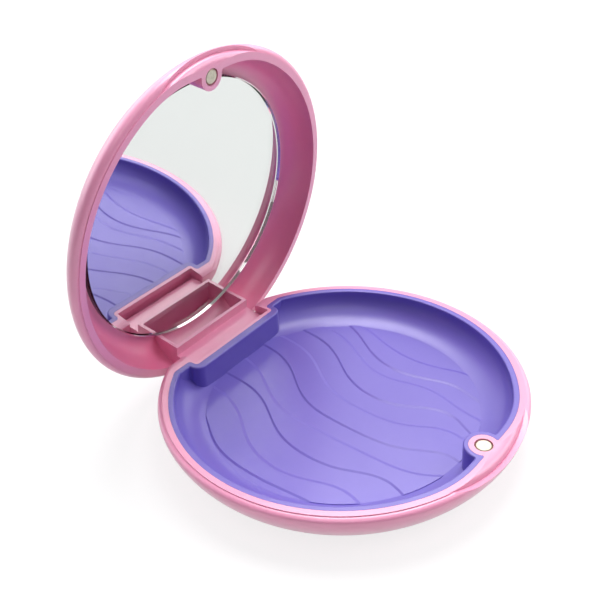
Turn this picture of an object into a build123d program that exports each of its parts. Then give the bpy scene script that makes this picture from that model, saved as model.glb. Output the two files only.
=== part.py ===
from build123d import *
import os
from math import cos, exp, radians, sin, sqrt, tanh

# A round case for dental aligners, standing open on its base.
# Millimetres, +Z up. The origin is the centre of the underside of the base.
# The hinge is at the back, +Y, and the magnets and thumb scoops are at the front, -Y.
# Depths are measured from a shell's rim plane into that shell.

# Outside of the two shells
base_radius = 44.0
base_height = 11.5
base_foot_inset = 9.0
base_shoulder = 1.1
base_bead = 1.2
lid_step = 0.6
lid_height = 10.2
lid_foot_inset = 11.4
lid_shoulder = 1.6
lid_bead = 1.3
bead_step = 0.25
side_fullness = 0.33
foot_fullness = 0.35
rim_gap = 0.25
open_angle = 82.7

# Walls and hollow of the base
base_floor = 1.8
rim_width = 2.6
front_flat = 1.6
front_round = 28.0
pocket_round = 2.2
notch_round = 1.0
least_round = 0.4
least_side = 0.05

# Liner
liner_gap = 0.05
liner_wall = 1.4
liner_notch_wall = 1.9
sleeve_wall = 1.1
liner_depth = 6.7
liner_sweep = 8.3
liner_rise = 6.1
liner_floor_lift = 0.06
liner_rim_round = 0.4

# Waves on the liner's floor, steep to the left and gentle to the right
wave_height = 0.2
wave_steep = 0.55
wave_gentle = 0.9
wave_reach = 9.0
wave_overlap = 1.4
wave_points = 15

# Seat ribs under the liner
rib_radii = (11.0, 20.5, 30.0)
rib_wall = 1.2

# Hinge
hinge_inset = 6.6
hinge_drop = 4.7
barrel_radius = 2.5
barrel_front_gap = 0.35
arm_half = 13.5
arm_side_gap = 0.5
recess_wall = 1.0
recess_side_wall = 0.8
hinge_cover = 0.55
back_reach = 1.9
back_corner = 3.0
trim_margin = 0.05
pin_radius = 0.7
pin_half = 18.0
pin_end_gap = 0.2
pin_chamfer = 0.15
running_clearance = 0.05

# Lid hollow, its hinge arm and the mirror
lid_roof = 1.9
lip_width = 3.0
lip_flat = 1.5
lid_sweep = 5.7
arm_wall = 0.9
arm_front_gap = 0.2
mirror_side_gap = 0.2
mirror_boss_gap = 0.15
mirror_thickness = 1.5
mirror_bevel = 0.3
adhesive_thickness = 0.3
adhesive_margin = 1.5

# Magnets and their bosses
magnet_inset = 6.05
boss_radius = 3.3
magnet_radius = 2.0
magnet_thickness = 2.0
magnet_chamfer = 0.4
magnet_sink = 0.1
magnet_side_gap = 0.05

# Thumb scoops: a round brow falls from the rim into a crease above a narrow lip, and the
# ring that cuts them leans back, so that the crease rises to the rim at both ends
base_scoop_inset = 1.3
lid_scoop_inset = 1.2
scoop_magnet_gap = 0.15
scoop_depth = 1.9
scoop_brow_drop = 0.15
scoop_reach = 2.6
scoop_lip_slope = 0.1
scoop_ring = 37.7
scoop_lean = 28.0

# Sizes worked out from the ones above
far = 3 * base_radius
overrun = 1.0
touch = 0.01
base_foot = base_radius - base_foot_inset
lid_radius = base_radius - lid_step
lid_foot = lid_radius - lid_foot_inset
hinge_y = base_radius - hinge_inset
hinge_z = base_height - hinge_drop
base_back = hinge_y + back_reach
recess_front = hinge_y - barrel_radius - barrel_front_gap
recess_half = arm_half + arm_side_gap
pocket_radius = base_radius - rim_width
pocket_front = pocket_radius - front_flat
pocket_back = hinge_y - pin_radius - hinge_cover
notch_y = recess_front - recess_wall
notch_half = recess_half + recess_side_wall
magnet_y = magnet_inset - base_radius
magnet_hole = magnet_thickness + magnet_sink
scoop_start = magnet_radius + scoop_magnet_gap - magnet_y
liner_floor = base_height - liner_depth
liner_underside = liner_floor - liner_wall
pocket_sweep = liner_gap + liner_wall + liner_sweep
pocket_rise = liner_floor + liner_rise - base_floor
wave_limit = pocket_radius - pocket_sweep + wave_overlap
lip_radius = lid_radius - lip_width
lip_front = lip_radius - lip_flat
lid_depth = lid_height - lid_roof
mirror_depth = lid_depth - adhesive_thickness - mirror_thickness
mirror_radius = min(lip_radius - lid_sweep - mirror_side_gap,
                    -magnet_y - boss_radius - mirror_boss_gap)
arm_inner_half = arm_half - arm_wall
arm_front = sqrt(mirror_radius**2 - arm_inner_half**2) + arm_front_gap

# Each shell is drawn from its own rim plane, whose normal points into the shell.
# The lid is drawn shut, on planes turned about the hinge to where it stands open.
base_rim = Plane(origin=(0, 0, base_height), x_dir=(-1, 0, 0), z_dir=(0, 0, -1))
lid_turn = Pos(0, hinge_y, hinge_z) * Rot(-open_angle, 0, 0) * Pos(0, -hinge_y, -hinge_z)
lid_rim = Plane(lid_turn * Plane.XY.offset(base_height + rim_gap).location)
lid_side = Plane(lid_turn * Plane.YZ.location)

# Lines of the waves, from left to right: where each crosses the middle, how far and
# where it leans over towards the back, and how far and where it swells in front
wave_lines = (
    (-24.9, 6.6, 21.4, 1.0, -14.0),
    (-20.3, 7.2, 14.7, 3.8, -16.8),
    (-13.5, 6.5, 11.8, 4.3, -22.4),
    (-5.3, 6.3, 20.0, 6.7, -38.8),
    (0.7, 7.3, 15.3, 5.4, -30.5),
    (6.9, 6.6, 12.6, 5.5, -26.7),
    (12.4, 6.8, 9.6, 5.6, -22.0),
    (18.4, 5.4, 8.8, 3.1, -14.2),
    (23.5, 6.0, 10.0, 3.5, -18.5),
    (27.0, 3.4, 8.0, 3.0, -20.0),
)


def half_section(rim):
    """The plane of a shell's half section, whose x is the radius and whose y is the depth."""
    return Plane(origin=rim.origin, x_dir=rim.x_dir, z_dir=rim.x_dir.cross(rim.z_dir))


def bowl(rim, radius, height, bead, shoulder, foot):
    """The solid outside of a shell, from its rim plane to its flat end, with a round bead
    that stands a step below the rim."""
    belly = shoulder + side_fullness * (height - shoulder)
    heel = foot + foot_fullness * (radius - foot)
    with BuildPart() as shape:
        with BuildSketch(half_section(rim)):
            with BuildLine():
                lip = Line((0, 0), (radius - bead, 0))
                step = Line(lip @ 1, (radius - bead, bead_step))
                brow = Bezier(step @ 1, (radius - bead / 2, bead_step),
                              (radius, (bead_step + shoulder) / 2), (radius, shoulder))
                side = Bezier(brow @ 1, (radius, belly), (heel, height), (foot, height))
                Polyline(side @ 1, (0, height), lip @ 0)
            make_face()
        revolve(axis=Axis(rim.origin, rim.z_dir))
    return shape.part


def dish(rim, outline, radius, depth, sweep, rise, start=-overrun, lift=0):
    """The filling of a hollow with this mouth, from the depth of its start to its floor,
    which sweeps up into its wall and is lifted a little out of the foot of the sweep."""
    with BuildPart() as shape:
        with BuildSketch(half_section(rim)):
            with BuildLine():
                floor = Line((0, depth + lift), (radius - sweep, depth + lift))
                EllipticalCenterArc((radius - sweep, depth - rise), sweep, rise + lift)
                Polyline((radius, depth - rise), (radius, -overrun), (0, -overrun), floor @ 0)
            make_face()
        revolve(axis=Axis(rim.origin, rim.z_dir))
        with BuildSketch(rim.offset(start)):
            add(outline)
        extrude(amount=depth - start, mode=Mode.INTERSECT)
    return shape.part


def mouth(radius, front, notch, half, boss, ease):
    """A circle with an eased flat in front, less the notch of the hinge and the boss of
    the magnet."""

    def on_flat():
        return outline.vertices().filter_by(lambda v: abs(v.Y + front) < touch).sort_by(Axis.X)

    with BuildSketch() as outline:
        Circle(radius)
        with Locations((0, -front)):
            Rectangle(far, far, align=(Align.CENTER, Align.MAX), mode=Mode.SUBTRACT)
        with Locations((0, notch)):
            Rectangle(2 * half, far, align=(Align.CENTER, Align.MIN), mode=Mode.SUBTRACT)
        with Locations((0, magnet_y)):
            Circle(boss, mode=Mode.SUBTRACT)
        fillet(on_flat()[1:3], least_round)
        fillet([on_flat()[0], on_flat()[-1]], ease)
    return outline.sketch


def pocket_mouth(inset, notch_wall, boss_wall):
    """Outline of the tray pocket, drawn in by inset, with its own walls at notch and boss."""
    half = notch_half + inset
    back_round = max(notch_round - inset, least_round)
    side = pocket_back - inset - notch_y + notch_wall

    def notch_corners(row):
        on_side = outline.vertices().filter_by(lambda v: abs(abs(v.X) - half) < touch)
        return on_side.group_by(Axis.Y)[row]

    with BuildSketch() as outline:
        add(mouth(pocket_radius - inset, pocket_front - inset, notch_y - notch_wall, half,
                  boss_radius + boss_wall, front_round - inset))
        with Locations((0, pocket_back - inset)):
            Rectangle(far, far, align=(Align.CENTER, Align.MIN), mode=Mode.SUBTRACT)
        back = outline.vertices().group_by(Axis.Y)[-1].sort_by(Axis.X)
        fillet([back[0], back[-1]], max(pocket_round - inset, least_round))
        fillet(notch_corners(-1), back_round)
        fillet(notch_corners(0), min(notch_round + inset, side - back_round - least_side))
    return outline.sketch


def arm_box_mouth():
    """Outline that holds the inside of the hinge arm's box in the lid."""
    with BuildSketch() as outline:
        Rectangle(2 * arm_inner_half, far, align=(Align.CENTER, Align.MIN))
    return outline.sketch


def scoop(rim, crease):
    """The leaning ring that cuts a shell's thumb scoop, deepest at the front, with its
    crease at this radius there. Its seam is turned to the back, clear of the shell."""
    front = Plane(origin=rim.origin, x_dir=-rim.y_dir, z_dir=-rim.x_dir)
    lean = radians(scoop_lean)
    centre = front.from_local_coords((crease - scoop_ring * cos(lean),
                                      scoop_depth - scoop_ring * sin(lean)))
    axis = Axis(centre, front.y_dir * cos(lean) - front.x_dir * sin(lean))
    end = crease + scoop_reach
    with BuildPart() as shape:
        with BuildSketch(front):
            with BuildLine():
                brow = Bezier((scoop_start, 0), ((scoop_start + 2 * crease) / 3, scoop_brow_drop),
                              (crease, scoop_depth / 3), (crease, scoop_depth))
                Polyline(brow @ 1, (end, scoop_depth - scoop_lip_slope * scoop_reach),
                         (end, -overrun), (scoop_start, -overrun), brow @ 0)
            make_face()
        revolve(axis=axis)
    return shape.part.rotate(axis, 180)


def magnet_disc(rim):
    """A magnet, set just below the top of its boss."""
    with BuildPart() as disc:
        with BuildSketch(rim.offset(magnet_sink)):
            with Locations((0, magnet_y)):
                Circle(magnet_radius)
        extrude(amount=magnet_thickness)
        chamfer(disc.edges().filter_by(GeomType.CIRCLE), magnet_chamfer)
    return disc.part


def wave_line(line, aside):
    """Points of one line of the waves, moved aside, from front to back across the floor."""
    start, lean, bend, swell, crest = line
    points = []
    for i in range(wave_points):
        y = pocket_radius * (2 * i / (wave_points - 1) - 1)
        across = lean * tanh((y - bend) / wave_reach)
        across += swell * exp(-((y - crest) / wave_reach) ** 2)
        points.append((start + aside + across, y))
    return points


# Base: a dish with a flat rim, cut off square at the back, with the hinge recess, the
# rings that the liner sits on, the magnet's boss and the thumb scoop
with BuildPart() as base_shell:
    add(bowl(base_rim, base_radius, base_height, base_bead, base_shoulder, base_foot))
    with BuildSketch(Plane.XY) as trim:
        Circle(base_radius + trim_margin)
        with Locations((0, base_back)):
            Rectangle(far, far, align=(Align.CENTER, Align.MIN), mode=Mode.SUBTRACT)
        fillet(trim.vertices().group_by(Axis.Y)[-1], back_corner)
    extrude(amount=base_height, mode=Mode.INTERSECT)
    with BuildSketch(Plane.YZ):
        with Locations((hinge_y, hinge_z)):
            Rectangle(far, far, align=Align.MIN)
            Circle(hinge_drop, mode=Mode.SUBTRACT)
    extrude(amount=far, both=True, mode=Mode.SUBTRACT)
    add(dish(base_rim, pocket_mouth(0, 0, 0), pocket_radius, base_height - base_floor,
             pocket_sweep, pocket_rise), mode=Mode.SUBTRACT)
    with BuildSketch(Plane.XY.offset(base_floor)):
        for radius in rib_radii:
            Circle(radius + rib_wall / 2)
            Circle(radius - rib_wall / 2, mode=Mode.SUBTRACT)
    extrude(amount=liner_underside - base_floor)
    with BuildSketch(Plane.XY.offset(base_floor)):
        with Locations((0, recess_front)):
            Rectangle(2 * recess_half, far, align=(Align.CENTER, Align.MIN))
    extrude(amount=far, mode=Mode.SUBTRACT)
    with BuildSketch(Plane.YZ.offset(-pin_half - pin_end_gap)):
        with Locations((hinge_y, hinge_z)):
            Circle(pin_radius)
    extrude(amount=far, mode=Mode.SUBTRACT)
    with BuildSketch(base_rim):
        with Locations((0, magnet_y)):
            Circle(magnet_radius + magnet_side_gap)
    extrude(amount=magnet_hole, mode=Mode.SUBTRACT)
    add(scoop(base_rim, base_radius - base_scoop_inset), mode=Mode.SUBTRACT)

# Liner: a thin tray that fills the pocket, with a sleeve round the boss, and low waves
# that run from the floor a little way up the sweep of its wall
liner_mouth = pocket_mouth(liner_gap, liner_gap, liner_gap)
tray_mouth = pocket_mouth(liner_gap + liner_wall, liner_gap + liner_notch_wall,
                          liner_gap + sleeve_wall)
with BuildPart() as waves:
    for left, right in zip(wave_lines[::2], wave_lines[1::2]):
        for height, left_aside, right_aside in ((0, 0, wave_gentle), (wave_height, wave_steep, 0)):
            with BuildSketch(Plane.XY.offset(liner_floor + height)):
                with BuildLine():
                    one = Spline(*wave_line(left, left_aside))
                    two = Spline(*wave_line(right, right_aside))
                    Line(one @ 0, two @ 0)
                    Line(one @ 1, two @ 1)
                make_face()
        loft(ruled=True)
    with BuildSketch(Plane.XY.offset(liner_floor)):
        Circle(wave_limit)
        add(tray_mouth, mode=Mode.INTERSECT)
    extrude(amount=wave_height, mode=Mode.INTERSECT)

with BuildPart() as liner_tray:
    add(dish(base_rim, liner_mouth, pocket_radius - liner_gap, base_height - liner_underside,
             liner_sweep + liner_wall, liner_rise + liner_wall, start=0))
    add(dish(base_rim, tray_mouth, pocket_radius - liner_gap - liner_wall, liner_depth,
             liner_sweep, liner_rise, lift=liner_floor_lift), mode=Mode.SUBTRACT)
    rim_face = liner_tray.faces().sort_by(Axis.Z)[-1]
    fillet(rim_face.inner_wires()[0].edges(), liner_rim_round)
    add(waves)

base_magnet = magnet_disc(base_rim)

# Hinge pin: pressed into the base on both sides of the recess
with BuildPart() as hinge_pin:
    with BuildSketch(Plane.YZ.offset(-pin_half)):
        with Locations((hinge_y, hinge_z)):
            Circle(pin_radius)
    extrude(amount=2 * pin_half)
    chamfer(hinge_pin.edges().filter_by(GeomType.CIRCLE), pin_chamfer)

# Lid: a dish with a plain round lip, a box at the back that carries the hinge arm
# outside the rim, the magnet's boss and the thumb scoop
with BuildPart() as lid_shell:
    add(bowl(lid_rim, lid_radius, lid_height, lid_bead, lid_shoulder, lid_foot))
    add(dish(lid_rim, mouth(lip_radius, lip_front, arm_front, arm_half, boss_radius, front_round),
             lip_radius, lid_depth, lid_sweep, lid_depth), mode=Mode.SUBTRACT)
    add(dish(lid_rim, arm_box_mouth(), lip_radius, lid_depth, lid_sweep, lid_depth,
             start=arm_wall), mode=Mode.SUBTRACT)
    with BuildSketch(lid_side):
        with Locations((hinge_y, hinge_z)):
            Rectangle(2 * barrel_radius, hinge_drop + rim_gap, align=(Align.CENTER, Align.MIN))
            Circle(barrel_radius)
            Circle(pin_radius + running_clearance, mode=Mode.SUBTRACT)
    extrude(amount=arm_half, both=True)
    with BuildSketch(lid_rim):
        with Locations((0, magnet_y)):
            Circle(magnet_radius + magnet_side_gap)
    extrude(amount=magnet_hole, mode=Mode.SUBTRACT)
    add(scoop(lid_rim, lid_radius - lid_scoop_inset), mode=Mode.SUBTRACT)

# Mirror with a ground edge, and the pad that holds it on the roof of the lid
with BuildPart() as mirror:
    with BuildSketch(lid_rim.offset(mirror_depth)):
        Circle(mirror_radius)
    extrude(amount=mirror_thickness)
    front = mirror.edges().filter_by(GeomType.CIRCLE).sort_by(Axis(lid_rim.origin, lid_rim.z_dir))
    chamfer(front[0], mirror_bevel)

with BuildPart() as mirror_adhesive:
    with BuildSketch(lid_rim.offset(mirror_depth + mirror_thickness)):
        Circle(mirror_radius - adhesive_margin)
    extrude(amount=adhesive_thickness)

lid_magnet = magnet_disc(lid_rim)

pieces = {
    "base_shell": base_shell.part,
    "liner_tray": liner_tray.part,
    "base_magnet": base_magnet,
    "hinge_pin": hinge_pin.part,
    "lid_shell": lid_shell.part,
    "mirror": mirror.part,
    "mirror_adhesive": mirror_adhesive.part,
    "lid_magnet": lid_magnet,
}
os.makedirs("parts", exist_ok=True)
for name, piece in pieces.items():
    piece.label = name
    export_step(piece, f"parts/{name}.step")
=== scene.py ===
import bpy
import math
from mathutils import Matrix, Vector


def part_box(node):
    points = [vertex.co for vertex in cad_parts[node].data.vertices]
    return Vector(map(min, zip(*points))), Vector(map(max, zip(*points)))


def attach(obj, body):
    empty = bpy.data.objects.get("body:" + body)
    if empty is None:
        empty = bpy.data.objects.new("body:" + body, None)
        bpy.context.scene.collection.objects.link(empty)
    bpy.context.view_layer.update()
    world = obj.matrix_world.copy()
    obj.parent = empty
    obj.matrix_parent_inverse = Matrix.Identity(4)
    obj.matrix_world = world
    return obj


# An open aligner case on a pale floor. Metres, in the CAD frame: +Z up, hinge at +Y.
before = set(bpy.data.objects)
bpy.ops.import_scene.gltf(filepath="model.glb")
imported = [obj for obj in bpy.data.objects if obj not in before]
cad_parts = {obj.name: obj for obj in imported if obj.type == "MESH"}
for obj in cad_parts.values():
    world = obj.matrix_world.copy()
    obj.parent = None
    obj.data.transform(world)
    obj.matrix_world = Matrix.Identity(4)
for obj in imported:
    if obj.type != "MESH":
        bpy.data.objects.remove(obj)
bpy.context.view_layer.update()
MM = 0.001

# Camera: turned about Z from the view along +Y, raised, then rolled about its own axis
camera_place = Vector((-0.14317, -0.10950, 0.15316))
camera_azimuth = math.radians(-48.49)
camera_elevation = math.radians(29.26)
camera_roll = math.radians(-4.25)
camera_lens = 56.8
camera_sensor = 36.0
camera_shift = (0.0395, -0.1048)
camera_near = 0.01

# Lamps: name, place, aim, diameter, power in watts and colour
low_aim, high_aim = (0, 0, 0.03), (0, 0, 0.04)
plain_light = (1.0, 1.0, 1.0)
rosy_light = (1.0, 0.985, 1.0)
cool_light = (0.94, 0.96, 1.0)
blue_light = (0.9, 0.94, 1.0)
lamps = (
    ("key", (0.24, 0.12, 0.62), low_aim, 0.45, 4.2, rosy_light),
    ("back", (0.0, 0.65, 0.42), low_aim, 0.9, 2.3, cool_light),
    ("front", (0.40, -0.45, 0.42), low_aim, 0.45, 1.8, rosy_light),
    ("side", (0.65, -0.05, 0.35), low_aim, 0.45, 0.8, plain_light),
    ("near", (-0.25, -0.20, 0.60), low_aim, 0.45, 0.7, plain_light),
    ("left", (-0.50, 0.30, 0.20), high_aim, 0.6, 0.35, blue_light),
)

# World: its light, and how bright it is in reflections, away from and on its white side
world_light = 0.03
world_dim = 0.2
world_white = 1.0
white_side = Vector((0.7, 0.6, 0.39))
white_ramp = (-0.3, 0.6)

# Floor: its grey for light and for the camera, and its own glow near the case and far off
floor_reach = 3.0
floor_light = 0.8
floor_shadow = 0.25
floor_shown = 0.8
floor_far = 1.0
floor_fade = (0.15, 0.6)
floor_mirrored = 0.62
floor_roughness = 0.9
paper_size = 0.4
paper_shades = (0.99, 1.01)

# How far the open lid stops short of upright, and the silvering behind the mirror
lid_lean = math.radians(7.3)
silver_margin = 0.15 * MM
silver_gap = 0.03 * MM
silver_sides = 192

# Moulded plastic
pink_colours = (0.94, 0.365, 0.565), (0.93, 0.34, 0.545)
# A deeper, redder pink painted on the lid's inner walls: painted shade for the shade in the
# hollow of the lid
pink_painted_shade = (0.99, 0.235, 0.445)
purple_colours = (0.165, 0.122, 0.54), (0.155, 0.113, 0.52)
cloud_size, speck_size, smear_size = 18 * MM, 1.3 * MM, 9 * MM
speck_shade = (0.985, 0.985, 0.985)
smear_spread = (-0.04, 0.05)
grain_size, grain_depth = 0.35 * MM, 0.012 * MM
swell_size, swell_depth = 14 * MM, 0.05 * MM
coat_roughness = 0.28
glow_depth = 2.0 * MM
glow_reach = (1.0, 0.45, 0.6)
# How the painted shade on the lid's inner walls fades in with the way a wall faces, and how far
# from the hinge pin it starts
painted_shade_ramp = (-0.1, -0.6)
painted_shade_away = (15 * MM, 21 * MM)

# Mirror, magnets, pin and pad. A pair of roughnesses runs from smooth to dull
glass_colours = (0.97, 0.99, 0.98), (0.95, 0.98, 0.965)
glass_roughness = (0.0, 0.012)
dust_size, dust_ramp = 6 * MM, (0.45, 0.75)
silver_colours = (0.86, 0.875, 0.865), (0.88, 0.89, 0.88)
silver_roughness = (0.0, 0.01)
patch_size = 25 * MM
magnet_colours = (0.52, 0.49, 0.37), (0.74, 0.71, 0.57)
magnet_roughness = (0.3, 0.45)
magnet_metal = 0.35
magnet_edge = (0.33, 0.25, 0.16)
magnet_edge_radii = (1.85 * MM, 1.95 * MM)
wear_size, rub_size = 0.8 * MM, 0.5 * MM
pit_size, pit_depth = 0.3 * MM, 0.01 * MM
steel_colours = (0.5, 0.5, 0.52), (0.62, 0.62, 0.63)
steel_roughness = (0.25, 0.4)
steel_line = 0.1 * MM
steel_stretch = (0.05, 1, 1)
foam_colours = (0.78, 0.78, 0.76), (0.86, 0.86, 0.84)
foam_roughness = 0.8
cell_size, cell_depth = 0.4 * MM, 0.05 * MM


def make_camera():
    data = bpy.data.cameras.new("camera")
    data.lens = camera_lens
    data.sensor_width = camera_sensor
    data.shift_x, data.shift_y = camera_shift
    data.clip_start = camera_near
    camera = bpy.data.objects.new("camera", data)
    bpy.context.scene.collection.objects.link(camera)
    turn = Matrix.Rotation(camera_azimuth, 4, "Z")
    tilt = Matrix.Rotation(math.pi / 2 - camera_elevation, 4, "X")
    roll = Matrix.Rotation(camera_roll, 4, "Z")
    camera.matrix_world = Matrix.Translation(camera_place) @ turn @ tilt @ roll
    bpy.context.scene.camera = camera


def make_lamp(name, place, aim, size, power, colour):
    data = bpy.data.lights.new(name, "AREA")
    data.shape = "DISK"
    data.size = size
    data.energy = power
    data.color = colour
    lamp = bpy.data.objects.new(name, data)
    bpy.context.scene.collection.objects.link(lamp)
    lamp.location = place
    lamp.rotation_euler = (Vector(aim) - Vector(place)).to_track_quat("-Z", "Y").to_euler()


class Nodes:
    """The node tree of a material or a world, with short calls to add nodes and join them."""

    def __init__(self, owner):
        owner.use_nodes = True
        self.owner = owner
        self.tree = owner.node_tree
        self.shader = self.tree.nodes.get("Principled BSDF")

    def feed(self, value, socket):
        """Joins a value to a socket, or sets it there if it is constant."""
        if isinstance(value, bpy.types.NodeSocket):
            self.tree.links.new(value, socket)
        elif socket.type == "RGBA":
            socket.default_value = (*value, 1)
        else:
            socket.default_value = value

    def add(self, kind, **inputs):
        node = self.tree.nodes.new(kind)
        for key, value in inputs.items():
            self.feed(value, node.inputs[key.replace("_", " ")])
        return node

    def give(self, **inputs):
        """Feeds the inputs of the material's shader."""
        for key, value in inputs.items():
            self.feed(value, self.shader.inputs[key.replace("_", " ")])

    def place(self):
        return self.add("ShaderNodeTexCoord").outputs["Object"]

    def noise(self, size, detail=3.0, roughness=0.5, place=None):
        """Noise whose features are about this size, in metres."""
        node = self.add("ShaderNodeTexNoise", Scale=1 / size, Detail=detail,
                        Roughness=roughness, Vector=place or self.place())
        return node.outputs["Fac"]

    def spread(self, value, low, high, start=0.3, end=0.7, kind="LINEAR"):
        """Runs from low to high as the value runs from start to end."""
        node = self.add("ShaderNodeMapRange", Value=value, From_Min=start, From_Max=end,
                        To_Min=low, To_Max=high)
        node.interpolation_type = kind
        return node.outputs["Result"]

    def work_out(self, kind, operation, values):
        node = self.add(kind)
        node.operation = operation
        for value, socket in zip(values, node.inputs):
            self.feed(value, socket)
        return node.outputs

    def vector(self, operation, *values):
        return self.work_out("ShaderNodeVectorMath", operation, values)

    def number(self, operation, *values):
        return self.work_out("ShaderNodeMath", operation, values)["Value"]

    def either(self, factor, one, two):
        """A number that runs from one to two with the factor."""
        return self.add("ShaderNodeMix", Factor=factor, A=one, B=two).outputs["Result"]

    def between(self, factor, one, two, blend="MIX"):
        """A colour that runs from one to two with the factor, or blends them by it."""
        node = self.add("ShaderNodeMix", Factor=factor)
        node.data_type = "RGBA"
        node.blend_type = blend
        for value, socket in zip((one, two), (s for s in node.inputs if s.type == "RGBA")):
            self.feed(value, socket)
        return next(s for s in node.outputs if s.type == "RGBA")

    def bump(self, height, distance, strength, under=None):
        node = self.add("ShaderNodeBump", Strength=strength, Distance=distance, Height=height)
        if under:
            self.feed(under, node.inputs["Normal"])
        return node.outputs["Normal"]


def new_material(name):
    return Nodes(bpy.data.materials.new(name))


def middle(node):
    low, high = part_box(node)
    return (low + high) / 2


def mirror_axis():
    """The centre of the mirror and the way it faces."""
    return middle("mirror"), Vector((0, -math.cos(lid_lean), -math.sin(lid_lean)))


def painted_shade_mask(m, centre, facing, plain):
    """The mask for painted shade: 1 on walls that face the axis through the centre. 0 elsewhere
    and near the plain place.
    """
    coordinate = m.add("ShaderNodeTexCoord")
    spoke = m.vector("SUBTRACT", coordinate.outputs["Object"], centre)["Vector"]
    along = m.vector("PROJECT", spoke, facing)["Vector"]
    out = m.vector("NORMALIZE", m.vector("SUBTRACT", spoke, along)["Vector"])["Vector"]
    turned = m.vector("DOT_PRODUCT", coordinate.outputs["Normal"], out)["Value"]
    away = m.vector("DISTANCE", coordinate.outputs["Object"], plain)["Value"]
    walls = m.spread(turned, 0.0, 1.0, *painted_shade_ramp)
    return m.number("MULTIPLY", walls, m.spread(away, 0.0, 1.0, *painted_shade_away))


def moulded(name, colours, roughness, glow, coat, inside=None):
    """Moulded plastic: a cloudy colour, uneven gloss, and the fine grain of the mould.
    Inside is a deeper colour painted on the walls that face the axis, as painted shade, with the
    axis that they face and a place round which there is none."""
    m = new_material(name)
    clouds = m.spread(m.noise(cloud_size, detail=2.0), 0.0, 1.0)
    specks = m.spread(m.noise(speck_size, detail=4.0), 0.0, 1.0)
    base = m.between(clouds, *colours)
    # Painted shade: the deeper colour goes on the walls that face the axis
    if inside:
        inner, *places = inside
        base = m.between(painted_shade_mask(m, *places), base, inner)
    shade = m.between(specks, speck_shade, (1, 1, 1))
    glossiest, dullest = (roughness + change for change in smear_spread)
    smears = m.noise(smear_size, detail=5.0, roughness=0.6)
    fine = m.bump(m.noise(grain_size, detail=2.0), grain_depth, strength=0.5)
    m.give(Base_Color=m.between(1.0, base, shade, blend="MULTIPLY"),
           Roughness=m.spread(smears, glossiest, dullest),
           Normal=m.bump(m.noise(swell_size, detail=1.0), swell_depth, strength=0.4, under=fine),
           Coat_Weight=coat, Coat_Roughness=coat_roughness,
           Subsurface_Weight=glow, Subsurface_Scale=glow_depth, Subsurface_Radius=glow_reach)
    return m.owner


def mirror_glass():
    """Clear float glass, faintly green, with a little dust on it."""
    m = new_material("mirror_glass")
    dust = m.noise(dust_size, detail=6.0, roughness=0.65)
    m.give(Roughness=m.spread(dust, *glass_roughness, *dust_ramp),
           Base_Color=m.between(dust, *glass_colours), Transmission_Weight=1.0, IOR=1.5)
    return m.owner


def silvering():
    """The silver on the back of the glass."""
    m = new_material("silvering")
    patches = m.noise(patch_size)
    m.give(Base_Color=m.between(patches, *silver_colours),
           Roughness=m.spread(patches, *silver_roughness), Metallic=1.0)
    return m.owner


def plated(node):
    """A plated magnet, dulled by handling, with a darker edge."""
    m = new_material(node)
    gap = m.vector("DISTANCE", m.place(), middle(node))["Value"]
    wear = m.spread(m.noise(wear_size, detail=5.0, roughness=0.6), 0.0, 1.0)
    edge = m.spread(gap, 0.0, 1.0, *magnet_edge_radii)
    m.give(Base_Color=m.between(edge, m.between(wear, *magnet_colours), magnet_edge),
           Roughness=m.spread(m.noise(rub_size), *magnet_roughness),
           Normal=m.bump(m.noise(pit_size, detail=2.0), pit_depth, strength=0.4),
           Metallic=magnet_metal)
    return m.owner


def drawn_steel():
    """The hinge pin, with the fine lines of drawing along it."""
    m = new_material("pin_steel")
    stretched = m.add("ShaderNodeMapping", Scale=steel_stretch, Vector=m.place())
    lines = m.noise(steel_line, detail=2.0, place=stretched.outputs["Vector"])
    m.give(Base_Color=m.between(lines, *steel_colours),
           Roughness=m.spread(lines, *steel_roughness), Metallic=1.0)
    return m.owner


def foam():
    """The pad behind the mirror."""
    m = new_material("adhesive_foam")
    cells = m.noise(cell_size)
    m.give(Base_Color=m.between(cells, *foam_colours),
           Normal=m.bump(cells, cell_depth, strength=0.5), Roughness=foam_roughness)
    return m.owner


def finish_node(node, material):
    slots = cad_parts[node].material_slots
    for slot in slots:
        slot.material = material
    if not slots:
        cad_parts[node].data.materials.append(material)


def make_silver():
    """A thin disc of silvering, just inside the back face of the mirror."""
    centre, facing = mirror_axis()
    across = Vector((1, 0, 0))
    up = across.cross(facing)
    corners = [vertex.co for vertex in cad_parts["mirror"].data.vertices]
    back = min((corner - centre).dot(facing) for corner in corners)
    radius = max((corner - centre).length for corner in corners) - silver_margin
    points = []
    for depth in (back + silver_gap, back + 2 * silver_gap):
        for i in range(silver_sides):
            turn = 2 * math.pi * i / silver_sides
            spoke = across * math.cos(turn) + up * math.sin(turn)
            points.append(centre + facing * depth + spoke * radius)
    count = silver_sides
    sides = [(i, (i + 1) % count, count + (i + 1) % count, count + i) for i in range(count)]
    ends = [tuple(reversed(range(count))), tuple(range(count, 2 * count))]
    mesh = bpy.data.meshes.new("mirror_silver")
    mesh.from_pydata(points, [], sides + ends)
    disc = bpy.data.objects.new("mirror_silver", mesh)
    bpy.context.scene.collection.objects.link(disc)
    mesh.materials.append(silvering())
    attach(disc, "lid")


def ray_level(m, plain, shown, mirrored):
    """A level that is plain for light, shown to the camera, and mirrored in gloss and glass."""
    ray = m.add("ShaderNodeLightPath").outputs
    glossy = m.number("MAXIMUM", ray["Is Glossy Ray"], ray["Is Transmission Ray"])
    return m.either(ray["Is Camera Ray"], m.either(glossy, plain, mirrored), shown)


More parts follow.
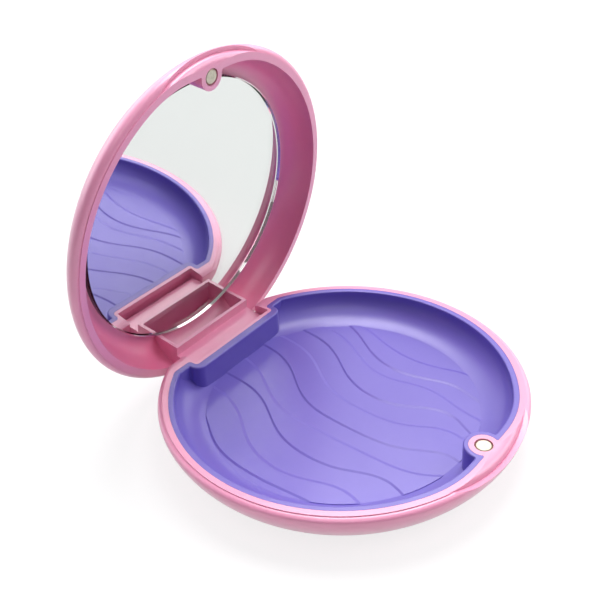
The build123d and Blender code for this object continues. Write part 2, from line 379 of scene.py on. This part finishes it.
def make_floor():
    """A wide pale floor that shows white to the camera and keeps the shadow of the case.
    It is shown brighter far off, where the lamps don't reach."""
    mesh = bpy.data.meshes.new("floor")
    ways = ((-1, -1), (1, -1), (1, 1), (-1, 1))
    corners = [(x * floor_reach, y * floor_reach, 0) for x, y in ways]
    mesh.from_pydata(corners, [], [(0, 1, 2, 3)])
    floor = bpy.data.objects.new("floor", mesh)
    bpy.context.scene.collection.objects.link(floor)
    m = new_material("floor")
    grey = ray_level(m, floor_light, floor_shadow, floor_shadow)
    paper = m.spread(m.noise(paper_size, detail=2.0), *paper_shades)
    m.give(Base_Color=m.number("MULTIPLY", grey, paper), Roughness=floor_roughness,
           Specular_IOR_Level=0.0)
    away = m.vector("LENGTH", m.place())["Value"]
    shown = m.spread(away, floor_shown, floor_far, *floor_fade)
    glow = m.add("ShaderNodeEmission", Strength=ray_level(m, 0.0, shown, floor_mirrored))
    both = m.add("ShaderNodeAddShader")
    for shader, socket in zip((m.shader.outputs["BSDF"], glow.outputs["Emission"]), both.inputs):
        m.feed(shader, socket)
    m.feed(both.outputs["Shader"], m.tree.nodes["Material Output"].inputs["Surface"])
    mesh.materials.append(m.owner)


def make_world():
    """White to the camera. In reflections it is white on one side and dim on the other,
    as a studio is, and it lights everything a little."""
    w = Nodes(bpy.data.worlds.new("studio"))
    bpy.context.scene.world = w.owner
    direction = w.add("ShaderNodeTexCoord").outputs["Generated"]
    side = w.vector("DOT_PRODUCT", direction, white_side)["Value"]
    mirrored = w.spread(side, world_dim, world_white, *white_ramp, kind="SMOOTHSTEP")
    background = w.tree.nodes["Background"].inputs
    w.feed((1, 1, 1), background["Color"])
    w.feed(ray_level(w, world_light, 1.0, mirrored), background["Strength"])


make_camera()
for lamp in lamps:
    make_lamp(*lamp)
make_floor()
make_world()
make_silver()

pink_finish = {"colours": pink_colours, "roughness": 0.40, "glow": 0.05, "coat": 1.0}
pink = moulded("pink_plastic", **pink_finish)
# The lid's plastic carries painted shade on its inner walls
pink_lid = moulded("pink_plastic_lid_painted_shade", **pink_finish,
                   inside=(pink_painted_shade, *mirror_axis(), middle("hinge_pin")))
purple = moulded("purple_plastic", purple_colours, roughness=0.45, glow=0.03, coat=0.55)
materials = {
    "base_shell": pink,
    "lid_shell": pink_lid,
    "liner_tray": purple,
    "base_magnet": plated("base_magnet"),
    "lid_magnet": plated("lid_magnet"),
    "hinge_pin": drawn_steel(),
    "mirror": mirror_glass(),
    "mirror_adhesive": foam(),
}
for node, material in materials.items():
    finish_node(node, material)

scene = bpy.context.scene
scene.view_settings.view_transform = "Standard"
